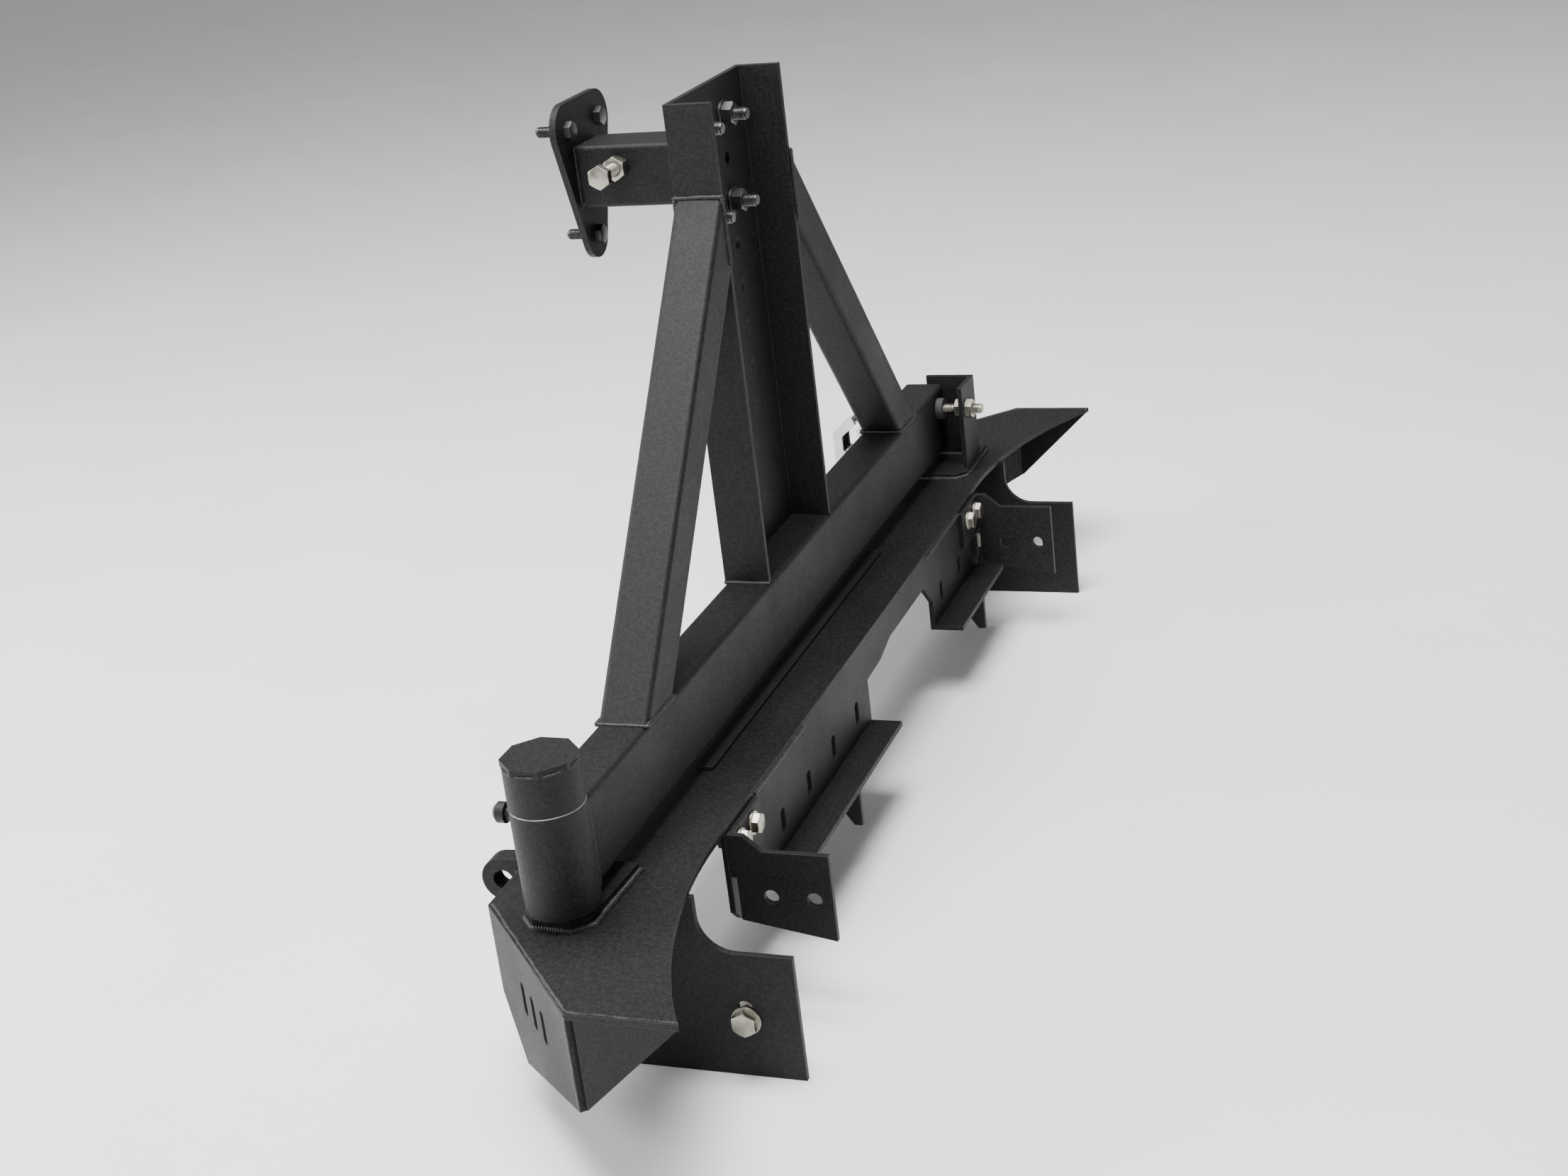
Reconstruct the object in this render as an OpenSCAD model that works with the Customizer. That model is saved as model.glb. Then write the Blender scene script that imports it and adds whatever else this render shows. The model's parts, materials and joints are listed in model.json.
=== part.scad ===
// Rear bumper with a swing-out spare tire carrier.
// Millimetres. +X runs toward the hinge end, +Y toward the vehicle, +Z up.
// The origin is on the vehicle-side face of the bumper's inner panel, at mid-length.

/* [Bumper] */
// Overall length of the bumper
bumper_len = 1364; // [1200:2:1500]
// Thickness of the bumper's folded plate
plate_t = 5; // [4:0.5:8]
// Height of the top plate's upper surface above the origin
top_z = 20; // [16:1:30]
// Distance from the inner panel back to the rear face
bumper_depth = 147; // [130:1:170]
// Length of rear face on each side of the middle, up to the angled wing
rear_half = 545; // [500:1:580]
// Setback of the wing's outer corner from the inner panel
wing_end_y = -19; // [-40:1:0]
// Height of the upright part of the rear face
rear_h = 79; // [60:1:95]
// Height of the whole rear face, down to the lower fold
rear_full_h = 124; // [100:1:140]
// Distance that the lower rear face leans inward
rear_lean = 29; // [15:1:40]
// Height of the wing at its outer corner
wing_tip_h = 85; // [60:1:110]
// Radius of the curved inner edge at each end of the top plate
inner_r = 520; // [480:10:640]
// Where the curved inner edge starts, from the middle
inner_start = 420; // [400:5:440]

/* [Inner panel] */
// Half-length of the slotted inner panel
panel_half = 400; // [380:5:430]
// Height of the panel below the top surface
panel_h = 92; // [80:1:110]
// Width of the bottom flange
flange_w = 31; // [20:1:40]
// Distance between mounting slots
slot_pitch = 72; // [60:1:80]
// Width of a mounting slot
slot_w = 11; // [9:0.5:14]
// Height of a mounting slot
slot_h = 24; // [18:1:30]

/* [Hinge] */
// Distance of the hinge axis from the middle
hinge_x = 552; // [540:1:570]
// Distance of the hinge axis behind the inner panel
hinge_back = 75; // [60:1:90]
// Outside diameter of the hub
hub_d = 60.3; // [58:0.1:66]
// Bore of the hub sleeve, which holds the bearing cups
hub_bore = 50; // [48:0.5:52]
// Diameter of the spindle
spindle_d = 30; // [26:0.5:32]

/* [Arm] */
// Width of the arm tube and of both braces
arm_w = 45; // [38:0.5:50]
// Height of the arm tube
arm_h = 76; // [70:1:80]
// Gap under the arm
arm_gap = 18; // [12:1:24]
// Distance from the hinge axis to the far end of the arm
arm_reach = 1037; // [1030:1:1042]
// Wall of the arm and brace tubes
tube_wall = 4; // [3:0.5:5]

/* [Post] */
// Middle of the post along X
post_x = 14; // [0:1:30]
// Width of the post's web
post_w = 183; // [170:1:200]
// Depth of the post's flanges
post_flange = 44; // [40:1:50]
// Height of the post above the arm
post_h = 446; // [420:2:480]
// Distance between height-adjusting holes
hole_pitch = 40; // [38:0.5:42]
// Distance between the two columns of holes
hole_columns = 64; // [60:1:70]
// Distance from the post's middle to the outer edge of a brace's foot
brace_foot = 393; // [380:1:410]
// Height above the arm where the outer edge of a brace meets the post
brace_top = 364; // [350:1:380]

/* [Wheel mount] */
// Outside width of the square sleeve
sleeve_w = 57.2; // [56:0.1:58]
// Wall of the square sleeve
sleeve_wall = 2.9; // [2.5:0.1:3.5]
// Length of the sleeve behind its flange
sleeve_len = 110; // [100:1:120]
// Bolt circle of the wheel that the plate carries
wheel_pcd = 114.3; // [108:0.1:120]
// Diameter of a wheel stud
stud_d = 10; // [9.5:0.1:12.7]
// Length of stud that stands out of the plate
stud_out = 24; // [20:1:40]

/* [Hidden] */

paint = [0.09, 0.09, 0.1];
zinc = [0.72, 0.72, 0.68];
chrome = [0.85, 0.85, 0.87];
rubber = [0.05, 0.05, 0.05];
steel = [0.55, 0.55, 0.56];

side = bumper_len / 2;
rear_y = -bumper_depth;
under_z = top_z - plate_t;
wing_run = side - rear_half;
wing_rise = wing_end_y - rear_y;
wing_angle = atan2(wing_rise, wing_run);
wing_len = norm([wing_run, wing_rise]);
fold_z = top_z - rear_h;
low_z = top_z - rear_full_h;
tip_z = top_z - wing_tip_h;
tip_arc = asin((side - inner_start) / inner_r);
tip_y = inner_r * (1 - cos(tip_arc));
panel_low = top_z - panel_h;
flange_z = panel_low + plate_t;
flange_x = [[16, 292], [12 - panel_half, -214]];
// Each frame bracket's foot sits in a shallow seat in the panel
foot_w = 68;
foot_drop = 26;
foot_sunk = 1;
slot_z = top_z - 61;
side_plate_x = 500;

hinge_y = -hinge_back;
base_t = 8;
sleeve_z0 = top_z + 12;
arm_z0 = top_z + arm_gap;
arm_z1 = arm_z0 + arm_h;
sleeve_z1 = arm_z1 + 6;
cap_z1 = top_z + 141;
bearing_h = 15;
lower_bearing_z = sleeve_z0 + 10;
upper_bearing_z = sleeve_z1 - 35;
ring_r = 18.5;
ring_z = upper_bearing_z + bearing_h;
ring_h = 18;
pin_z = ring_z + ring_h / 2;
cone_bore = spindle_d + 0.06;

arm_rear_y = hinge_y - arm_w / 2;
arm_front_y = hinge_y + arm_w / 2;
arm_end_x = hinge_x - arm_reach;

post_web_y = arm_rear_y + plate_t;
first_hole_z = arm_z1 + 132;
mount_row = [5, 7];
mount_z = first_hole_z + 6 * hole_pitch;
mount_flange_t = 6;
sleeve_y0 = arm_rear_y - mount_flange_t;
sleeve_y1 = sleeve_y0 - sleeve_len;
slide_gap = 0.3;
slide_w = sleeve_w - 2 * sleeve_wall - 2 * slide_gap;
wheel_plate_t = 6.4;
wheel_plate_y = sleeve_y1 - 5;
wheel_z = mount_z - 2;
clamp_y = sleeve_y1 + 38;
clamp_z = mount_z + 9;
clamp_d = 12;

striker_x = arm_end_x - 12;
striker_t = 5;

// The draw latch: places are [y, z] pairs
latch_x = -352;
latch_pivot = [arm_rear_y - 15.5, 68];
loop_pin = latch_pivot + [4, 8];
rod_r = 3;
loop_half = 17.5;
catch_t = 3;
catch_top = arm_z0 - 3;
bar_z = catch_top - catch_t - 1.3 - rod_r;

// ---------- shared shapes ----------

// Corner points of a rectangle with rounded corners, centred on the origin
function rounded(w, h, r, n = 5) = [for (q = [0:3], i = [0:n])
    let (a = 90 * q + 90 * i / n, sx = (q == 0 || q == 3) ? 1 : -1, sy = q < 2 ? 1 : -1)
    [sx * (w / 2 - r) + r * cos(a), sy * (h / 2 - r) + r * sin(a)]];

// Square or rectangular tube standing on z = 0
module tube(w, h, length, wall, r = 5) {
    linear_extrude(length) difference() {
        polygon(rounded(w, h, r));
        polygon(rounded(w - 2 * wall, h - 2 * wall, max(r - wall, 1)));
    }
}

// Cylinder between two heights
module rod(r, z0, z1, sides = 48) {
    translate([0, 0, z0]) cylinder(r = r, h = z1 - z0, $fn = sides);
}

module ring(r_out, r_in, z0, z1) {
    difference() {
        rod(r_out, z0, z1);
        rod(r_in, z0 - 1, z1 + 1);
    }
}

// Hex-head bolt along +Z: the head's bearing face is at z = 0 and the shank points down
module hex_bolt(d, length, washer = 0) {
    rod(d / 2, -length, 0);
    translate([0, 0, washer]) cylinder(r = d * 0.94, h = d * 0.62, $fn = 6);
    if (washer > 0) rod(d * 1.05, 0, washer);
}

module hex_nut(d, h) {
    difference() {
        cylinder(r = d * 0.94, h = h, $fn = 6);
        rod(d / 2 + 0.05, -1, h + 1);
    }
}

// Flat obround hole, tall along Y, cut through from z = -1 to z = t + 1
module slot_cut(w, h, t) {
    translate([0, 0, -1]) linear_extrude(t + 2) {
        square([w, h - w], center = true);
        for (s = [-1, 1]) translate([0, s * (h - w) / 2]) circle(d = w, $fn = 32);
    }
}

// Puts a Y-Z outline upright, with its thickness centred on x
module upright_yz(x, t) {
    translate([x - t / 2, 0, 0]) rotate([90, 0, 90]) linear_extrude(t) children();
}

// Puts an X-Z outline upright, with its +Y face on y
module upright_xz(y, t) {
    translate([0, y, 0]) rotate([90, 0, 0]) linear_extrude(t) children();
}

module at_hinge() {
    translate([hinge_x, hinge_y, 0]) children();
}

// ---------- bumper ----------

// Curved inner edge of one end, from the straight middle to the tip
function inner_edge(s) = [for (i = [0:16]) let (a = tip_arc * i / 16)
    [s * (inner_start + inner_r * sin(a)), inner_r * (1 - cos(a))]];
function back_to_front(list) = [for (i = [len(list) - 1:-1:0]) list[i]];

module top_plate() {
    color(paint) translate([0, 0, under_z]) linear_extrude(plate_t)
        polygon(concat([[-side, wing_end_y], [-rear_half, rear_y], [rear_half, rear_y], [side, wing_end_y]],
            back_to_front(inner_edge(1)), inner_edge(-1)));
}

// Everything that lies inside the wing plates
module within_wings() {
    shift = plate_t / cos(wing_angle);
    reach = 200;
    function wing_x(y) = rear_half + (y - rear_y - shift) * wing_run / wing_rise;
    intersection() {
        children();
        translate([0, 0, -300]) linear_extrude(600)
            polygon([[-wing_x(-reach), -reach], [wing_x(-reach), -reach],
                [wing_x(reach), reach], [-wing_x(reach), reach]]);
    }
}

module rear_upper_face() {
    color(paint) within_wings()
        translate([-side, rear_y, fold_z]) cube([2 * side, plate_t, under_z - fold_z]);
}

// Outline of the leaning lower face: outer line, then the inner line at plate thickness
lean_len = norm([rear_lean, fold_z - low_z]);
lean_n = [fold_z - low_z, rear_lean] / lean_len;
lean_low_in = [rear_y + rear_lean, low_z] + plate_t * lean_n;
lean_top_in = rear_y + plate_t / lean_n[0];

module rear_lower_face() {
    color(paint) within_wings() upright_yz(0, 2 * side)
        polygon([[rear_y, fold_z], [rear_y + rear_lean, low_z], lean_low_in, [lean_top_in, fold_z]]);
}

module wing_plate() {
    run = rear_lean / sin(wing_angle);
    slots_z = top_z - 50;
    color(paint) translate([rear_half, rear_y, 0]) rotate([0, 0, wing_angle])
        translate([0, plate_t, 0]) rotate([90, 0, 0]) difference() {
            linear_extrude(plate_t)
                polygon([[0, under_z], [wing_len, under_z], [wing_len, tip_z], [run, low_z], [0, fold_z]]);
            for (i = [-1:1]) translate([wing_len / 2 + 24 * i, slots_z, 0]) slot_cut(9, 30, plate_t);
        }
}
module wing_plate_right() { wing_plate(); }
module wing_plate_left() { mirror([1, 0, 0]) wing_plate(); }

module end_plate() {
    color(paint) within_wings() upright_yz(side - plate_t / 2, plate_t)
        polygon([[wing_end_y - 10, under_z], [tip_y - 2, under_z],
            [wing_end_y + 4, tip_z], [wing_end_y - 10, tip_z + 5]]);
}
module end_plate_right() { end_plate(); }
module end_plate_left() { mirror([1, 0, 0]) end_plate(); }

module inner_panel() {
    slots = [for (i = [0:3]) 56 + slot_pitch * i, -side_plate_x + 180, -side_plate_x + 252];
    color(paint) difference() {
        upright_xz(0, plate_t) polygon([[panel_half, under_z], [panel_half, panel_low + 12],
            [panel_half - 12, panel_low], [flange_x[0][1], panel_low], [flange_x[0][1], flange_z],
            [flange_x[0][0], flange_z], [16, -24], [-30, -22], [-64, -13], [-186, -13], [-214, -40],
            [flange_x[1][1], flange_z], [flange_x[1][0], flange_z],
            [-panel_half, panel_low + 12], [-panel_half, under_z]]);
        for (x = slots) translate([x, 0, slot_z]) rotate([90, 0, 0]) slot_cut(slot_w, slot_h, plate_t);
        for (s = [-1, 1], x = bracket_bolt_x) translate([s * x, 10, 0]) rotate([90, 0, 0])
            cylinder(d = bracket_hole_d, h = 20, $fn = 32);
        for (s = [-1, 1]) translate([s * (panel_half - foot_w / 2), 0, 0])
            cube([foot_w + 0.4, 2 * foot_sunk, 2 * (foot_drop + 0.2)], center = true);
    }
}

// Let into the panel's lower edge, so that they leave its face clear
module bottom_flanges() {
    color(paint) for (x = flange_x)
        translate([x[0], -plate_t, panel_low]) cube([x[1] - x[0], flange_w + plate_t, plate_t]);
}

module flange_gussets() {
    color(paint) for (x = [155, -300]) upright_yz(x, plate_t)
        polygon([[0, panel_low], [flange_w, panel_low],
            [flange_w, panel_low - 34], [flange_w - 8, panel_low - 34]]);
}

// Upright plate at each side that takes the frame bolts
neck_r = 30;
neck = [40, -4];
side_slot = [43, -90];
side_hole = [-30, -78];
module side_plate(x) {
    corner_z = top_z - 167;
    color(paint) difference() {
        upright_yz(x, plate_t) polygon(concat([[neck[0] - neck_r, under_z]],
            [for (a = [180:10:270]) neck + neck_r * [cos(a), sin(a)]],
            [[88, neck[1] - neck_r], [88, corner_z], [-80, corner_z], lean_low_in, [lean_top_in, fold_z],
                [rear_y + plate_t, fold_z], [rear_y + plate_t, under_z]]));
        translate([x - plate_t / 2, side_slot[0], side_slot[1]]) rotate([90, 0, 90])
            slot_cut(13, 26, plate_t);
        translate([x - plate_t, side_hole[0], side_hole[1]]) rotate([0, 90, 0])
            cylinder(d = 13, h = 2 * plate_t, $fn = 48);
    }
}
module side_plate_right() { side_plate(side_plate_x); }
module side_plate_left() { side_plate(-side_plate_x); }

bracket_bolt_x = [352, 382];
bracket_hole_d = 11;
bracket_hole_y = [34, 72];
bracket_hole_z = -42;
module frame_bracket(s) {
    outer = panel_half;
    foot_x = s > 0 ? outer - foot_w : -outer;
    color(paint) difference() {
        union() {
            translate([foot_x, -foot_sunk, -foot_drop]) cube([foot_w, 5 + foot_sunk, foot_drop + 14]);
            upright_yz(s * (outer - 2.5), 5)
                polygon([[5, 14], [14, 14], [30, 0], [88, 0], [88, -80], [5, -66]]);
        }
        for (x = bracket_bolt_x) translate([s * x, 10, 0]) rotate([90, 0, 0])
            cylinder(d = bracket_hole_d, h = 20, $fn = 32);
        for (y = bracket_hole_y) translate([s * outer - 10, y, bracket_hole_z]) rotate([0, 90, 0])
            cylinder(d = 13, h = 20, $fn = 32);
    }
}
module frame_bracket_right() { frame_bracket(1); }
module frame_bracket_left() { frame_bracket(-1); }

module bracket_bolts() {
    color(zinc) for (s = [-1, 1], x = bracket_bolt_x) translate([s * x, 0, 0]) {
        translate([0, 5, 0]) rotate([-90, 0, 0]) hex_bolt(10, 24, 2);
        translate([0, -plate_t, 0]) rotate([90, 0, 0]) hex_nut(10, 8);
    }
}

module side_plate_bolts() {
    color(zinc) for (s = [-1, 1]) {
        place = s > 0 ? side_slot - [0, 4] : side_hole;
        translate([s * side_plate_x + plate_t / 2, place[0], place[1]]) rotate([0, 90, 0])
            hex_bolt(12, 36, 2.5);
        translate([s * side_plate_x - plate_t / 2, place[0], place[1]]) rotate([0, -90, 0]) hex_nut(12, 10);
    }
}

tab_x = 480;
tab_t = 16;
tab_r = 19.5;
tab_hole = [rear_y - 15.5, 9];
module shackle_tab(s) {
    color(paint) upright_yz(s * tab_x, tab_t) difference() {
        polygon(concat([[rear_y, tab_hole[1] + tab_r + 1], [rear_y, tab_hole[1] - tab_r - 3]],
            [for (a = [260:-10:100]) tab_hole + tab_r * [cos(a), sin(a)]]));
        translate(tab_hole) circle(d = 18, $fn = 48);
    }
}
module shackle_tab_right() { shackle_tab(1); }
module shackle_tab_left() { shackle_tab(-1); }

module wear_strip() {
    color(paint) translate([-200, arm_front_y - 12, top_z]) cube([502, 17, 4]);
}

// ---------- hinge spindle and its bearings ----------

module spindle_base() {
    near = 21;
    far = -75;
    half = 31;
    cut = 12;
    color(paint) at_hinge() difference() {
        translate([0, 0, top_z]) linear_extrude(base_t)
            polygon([[near - cut, -half], [near, cut - half], [near, half - cut - 5], [near - cut, half - 5],
                [far, half], [far, -half]]);
        rod(spindle_d / 2 + 2, 0, top_z + base_t + 1);
    }
}

module spindle() {
    thread_z = ring_z + ring_h;
    color(steel) at_hinge() difference() {
        union() {
            rod(spindle_d / 2 + 2, top_z, sleeve_z0 + 4);
            rod(spindle_d / 2, sleeve_z0 + 4, thread_z);
            rod(spindle_d / 2 - 3, thread_z, thread_z + 34);
        }
        translate([0, 30, thread_z + 15]) rotate([90, 0, 0]) cylinder(d = 4.4, h = 60, $fn = 24);
    }
}

module grease_seal() {
    color(rubber) at_hinge() ring(hub_bore / 2, spindle_d / 2 + 0.4, sleeve_z0 + 4.5, lower_bearing_z - 0.5);
}

// Inner race with its rollers, as one tapered ring
module bearing_cone(z, up) {
    wide = 21.6;
    slim = 20.1;
    r = up > 0 ? [slim, wide] : [wide, slim];
    color(steel) at_hinge() rotate_extrude($fn = 72)
        polygon([[cone_bore / 2, z], [r[0], z], [r[1], z + bearing_h], [cone_bore / 2, z + bearing_h]]);
}
module bearing_cone_lower() { bearing_cone(lower_bearing_z, -1); }
module bearing_cone_upper() { bearing_cone(upper_bearing_z, 1); }

module bearing_cup(z, up) {
    gap = 0.25;
    r = up > 0 ? [20.1, 21.6] : [21.6, 20.1];
    color(steel) at_hinge() rotate_extrude($fn = 72)
        polygon([[hub_bore / 2, z], [hub_bore / 2, z + bearing_h],
            [r[1] + gap, z + bearing_h], [r[0] + gap, z]]);
}
module bearing_cup_lower() { bearing_cup(lower_bearing_z, -1); }
module bearing_cup_upper() { bearing_cup(upper_bearing_z, 1); }

// Detent collar: the hold-open pin drops into its hole when the arm stands open
open_angle = 100;
module index_ring() {
    color(steel) at_hinge() difference() {
        ring(ring_r, spindle_d / 2 + 0.05, ring_z, ring_z + ring_h);
        rotate([0, 0, open_angle]) translate([0, -ring_r - 5, pin_z]) rotate([-90, 0, 0])
            cylinder(d = 9, h = 12, $fn = 32);
    }
}

module lock_washer() {
    color(zinc) at_hinge() ring(19, spindle_d / 2 - 2.9, ring_z + ring_h, ring_z + ring_h + 3);
}

module castle_nut() {
    z = ring_z + ring_h + 3;
    color(zinc) at_hinge() difference() {
        translate([0, 0, z]) cylinder(r = 20, h = 17, $fn = 6);
        rod(spindle_d / 2 - 2.95, z - 1, z + 18);
        for (a = [0, 60, 120]) rotate([0, 0, a + 30]) translate([-25, -3, z + 9]) cube([50, 6, 9]);
    }
}

module cotter_pin() {
    z = ring_z + ring_h + 15;
    color(zinc) at_hinge() {
        translate([0, 22, z]) rotate([90, 0, 0]) cylinder(d = 4, h = 44, $fn = 24);
        translate([0, -22, z]) sphere(d = 5.4, $fn = 24);
    }
}

module hub_sleeve() {
    color(paint) at_hinge() difference() {
        ring(hub_d / 2, hub_bore / 2, sleeve_z0, sleeve_z1);
        translate([0, 0, pin_z]) rotate([90, 0, 0]) cylinder(d = housing_d, h = 60, $fn = 48);
    }
}

module hub_cap() {
    top_t = 6;
    color(paint) at_hinge() difference() {
        union() {
            rod(hub_d / 2, sleeve_z1 + 0.6, cap_z1 - top_t, 72);
            translate([0, 0, cap_z1 - top_t]) rotate([0, 0, 22.5])
                cylinder(r = hub_d / 2 + 0.8, h = top_t, $fn = 8);
            rod(hub_bore / 2 - 0.05, sleeve_z1 - 2.5, sleeve_z1 + 0.6);
        }
        rod(hub_bore / 2 - 3.5, sleeve_z1 - 3, sleeve_z1 + 4);
        rod(hub_d / 2 - 4, sleeve_z1 + 4, cap_z1 - top_t);
    }
}

module grease_fitting() {
    z = sleeve_z0 + 24;
    color(zinc) at_hinge() difference() {
        rotate([0, 0, -28]) translate([0, 0, z]) rotate([90, 0, 0]) {
            cylinder(r = 4.6, h = hub_d / 2 + 4, $fn = 6);
            rod(2.6, hub_d / 2, hub_d / 2 + 8);
            translate([0, 0, hub_d / 2 + 9]) sphere(d = 6.4, $fn = 24);
        }
        rod(hub_d / 2, 0, 200, 72);
    }
}

// ---------- hold-open pin ----------

// Distances along the pin are from the hinge axis
housing_d = 14;
housing_in = ring_r + 1.1;
housing_out = hub_d / 2 + 3.2;
housing_end_t = 1.5;
chamber_r = 6.1;
stem_d = 8.1;
collar_at = housing_in + housing_end_t + 0.2;
collar_t = 1.5;
module along_pin() {
    at_hinge() translate([0, 0, pin_z]) rotate([90, 0, 0]) children();
}

module pin_housing() {
    color(paint) along_pin() difference() {
        translate([0, 0, housing_in]) cylinder(d = housing_d, h = housing_out - housing_in, $fn = 48);
        translate([0, 0, housing_in - 1]) cylinder(d = stem_d + 0.2, h = 30, $fn = 32);
        translate([0, 0, housing_in + housing_end_t])
            cylinder(r = chamber_r, h = housing_out - housing_in - 2 * housing_end_t, $fn = 48);
    }
}

// Coil spring that pushes the pin's collar toward the index ring
module pin_spring() {
    wire = 0.9;
    turns = 4;
    first = collar_at + collar_t + 0.6;
    last = housing_out - housing_end_t - 0.6;
    color(zinc) along_pin() for (i = [0:turns]) translate([0, 0, first + (last - first) * i / turns])
        rotate_extrude($fn = 48) translate([5.2, 0]) circle(d = wire, $fn = 24);
}

module hold_open_pin() {
    tip = ring_r + 0.4;
    stem_end = housing_out + 2.5;
    knob_r = 8.5;
    knob_t = 7;
    color(paint) along_pin() {
        translate([0, 0, tip]) cylinder(d = stem_d, h = stem_end - tip, $fn = 32);
        translate([0, 0, collar_at]) cylinder(r = chamber_r - 0.3, h = collar_t, $fn = 48);
        translate([0, 0, stem_end]) cylinder(r = knob_r, h = knob_t, $fn = 48);
        translate([0, 0, stem_end + knob_t]) cylinder(r1 = knob_r, r2 = knob_r - 3, h = 3, $fn = 48);
    }
}

// ---------- swing arm ----------

module arm_tube() {
    color(paint) difference() {
        translate([arm_end_x, hinge_y, arm_z0 + arm_h / 2]) rotate([90, 0, 90])
            tube(arm_w, arm_h, arm_reach, tube_wall);
        at_hinge() rod(hub_d / 2, 0, 200, 72);
    }
}

module arm_end_cap() {
    color(paint) translate([arm_end_x, hinge_y, arm_z0 + arm_h / 2]) rotate([90, 0, -90])
        linear_extrude(4) polygon(rounded(arm_w, arm_h, 5));
}

hole_rows = [for (i = [0:7]) first_hole_z + hole_pitch * i];
module post_channel() {
    half = post_w / 2;
    flange_y = arm_rear_y + post_flange;
    color(paint) difference() {
        translate([post_x, 0, arm_z1]) linear_extrude(post_h) difference() {
            translate([-half, arm_rear_y]) square([post_w, post_flange]);
            translate([-half + plate_t, post_web_y]) square([post_w - 2 * plate_t, post_flange]);
        }
        for (z = hole_rows, s = [-1, 1]) translate([post_x + s * hole_columns / 2, arm_rear_y - 1, z])
            rotate([-90, 0, 0]) cylinder(d = 12.6, h = plate_t + 2, $fn = 32);
    }
}

// One brace, leaning from its foot on the arm up to the post's flange
module brace(s) {
    half = post_w / 2;
    dx = brace_foot - half;
    lean = atan2(dx, brace_top);
    long = norm([dx, brace_top]);
    color(paint) translate([post_x, hinge_y, arm_z1]) mirror([s > 0 ? 0 : 1, 0, 0]) intersection() {
        translate([brace_foot, 0, 0]) rotate([0, -lean, 0]) translate([-arm_w / 2, 0, -60])
            tube(arm_w, arm_w, long + 120, tube_wall);
        translate([half, -50, 0]) cube([brace_foot, 100, brace_top + 100]);
    }
}
module brace_right() { brace(1); }
module brace_left() { brace(-1); }

// ---------- wheel mount ----------

module mount_flange() {
    w = hole_columns + 34;
    h = 2 * hole_pitch + 34;
    color(paint) difference() {
        translate([post_x, arm_rear_y, mount_z]) rotate([90, 0, 0]) linear_extrude(mount_flange_t)
            polygon(rounded(w, h, 8));
        for (i = mount_row, s = [-1, 1])
            translate([post_x + s * hole_columns / 2, arm_rear_y + 1, hole_rows[i]]) rotate([90, 0, 0])
                cylinder(d = 12.6, h = mount_flange_t + 2, $fn = 32);
    }
}

module mount_sleeve() {
    color(paint) difference() {
        translate([post_x, sleeve_y0, mount_z]) rotate([90, 0, 0])
            tube(sleeve_w, sleeve_w, sleeve_len, sleeve_wall, 4.5);
        translate([post_x, clamp_y, clamp_z]) rotate([0, 90, 0])
            cylinder(d = clamp_d + 0.2, h = 60, $fn = 32);
    }
}

module mount_bolts() {
    color(steel) for (i = mount_row, s = [-1, 1])
        translate([post_x + s * hole_columns / 2, 0, hole_rows[i]]) {
            translate([0, sleeve_y0, 0]) rotate([90, 0, 0]) hex_bolt(12, 36, 2.5);
            translate([0, post_web_y, 0]) rotate([-90, 0, 0]) {
                ring(13, 6.1, 0, 2.5);
                translate([0, 0, 2.5]) hex_nut(12, 10);
            }
        }
}

module clamp_nut() {
    color(zinc) translate([post_x + sleeve_w / 2, clamp_y, clamp_z]) rotate([0, 90, 0]) difference() {
        cylinder(r = 11.4, h = 12, $fn = 6);
        rod(clamp_d / 2 + 0.05, -1, 13);
    }
}

// Screws through its welded nut and bears on the side of the slide tube
module clamp_bolt() {
    tip = slide_w / 2 + 0.1;
    head = sleeve_w / 2 + 38;
    color(zinc) translate([post_x, clamp_y, clamp_z]) rotate([0, 90, 0]) {
        translate([0, 0, tip]) cylinder(d = clamp_d, h = head - tip, $fn = 32);
        translate([0, 0, head]) cylinder(r = 11.2, h = 8, $fn = 6);
    }
}

module slide_tube() {
    color(paint) translate([post_x, wheel_plate_y, mount_z]) rotate([-90, 0, 0])
        tube(slide_w, slide_w, sleeve_len - 6, 5, 2.5);
}

// Stud places on the plate: two up and one down, from a five-hole circle
stud_at = [for (a = [54, 126, 270]) wheel_pcd / 2 * [cos(a), sin(a)]];

// Points round one corner circle of the plate's outline
function corner(c, r, a0, a1) = [for (i = [0:10]) let (a = a0 + (a1 - a0) * i / 10) c + r * [cos(a), sin(a)]];
module wheel_plate() {
    top_r = 25;
    low_r = 22;
    d = stud_at[0] - stud_at[2];
    side_a = atan2(d[1], d[0]) - 90 + asin((top_r - low_r) / norm(d));
    color(paint) difference() {
        translate([post_x, wheel_plate_y, wheel_z]) rotate([90, 0, 0]) linear_extrude(wheel_plate_t)
            polygon(concat(corner(stud_at[0], top_r, side_a, 90), corner(stud_at[1], top_r, 90, 180 - side_a),
                corner(stud_at[2], low_r, 180 - side_a, 360 + side_a)));
        for (p = stud_at) translate([post_x + p[0], wheel_plate_y + 1, wheel_z + p[1]]) rotate([90, 0, 0])
            cylinder(d = stud_d + 1.4, h = wheel_plate_t + 2, $fn = 32);
    }
}

// Bolts pushed through from the sleeve side, so that their ends stand out as studs
module wheel_studs() {
    color(steel) for (p = stud_at)
        translate([post_x + p[0], wheel_plate_y, wheel_z + p[1]]) rotate([90, 0, 0]) {
            rod(stud_d / 2 + 0.5, 0, wheel_plate_t);
            rod(stud_d / 2, wheel_plate_t, wheel_plate_t + stud_out - 2);
            translate([0, 0, wheel_plate_t + stud_out - 2])
                cylinder(r1 = stud_d / 2, r2 = stud_d / 2 - 1.6, h = 2, $fn = 48);
            translate([0, 0, -6.5]) cylinder(r = stud_d * 0.9, h = 6.5, $fn = 6);
        }
}

// ---------- striker and stop at the free end ----------

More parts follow.
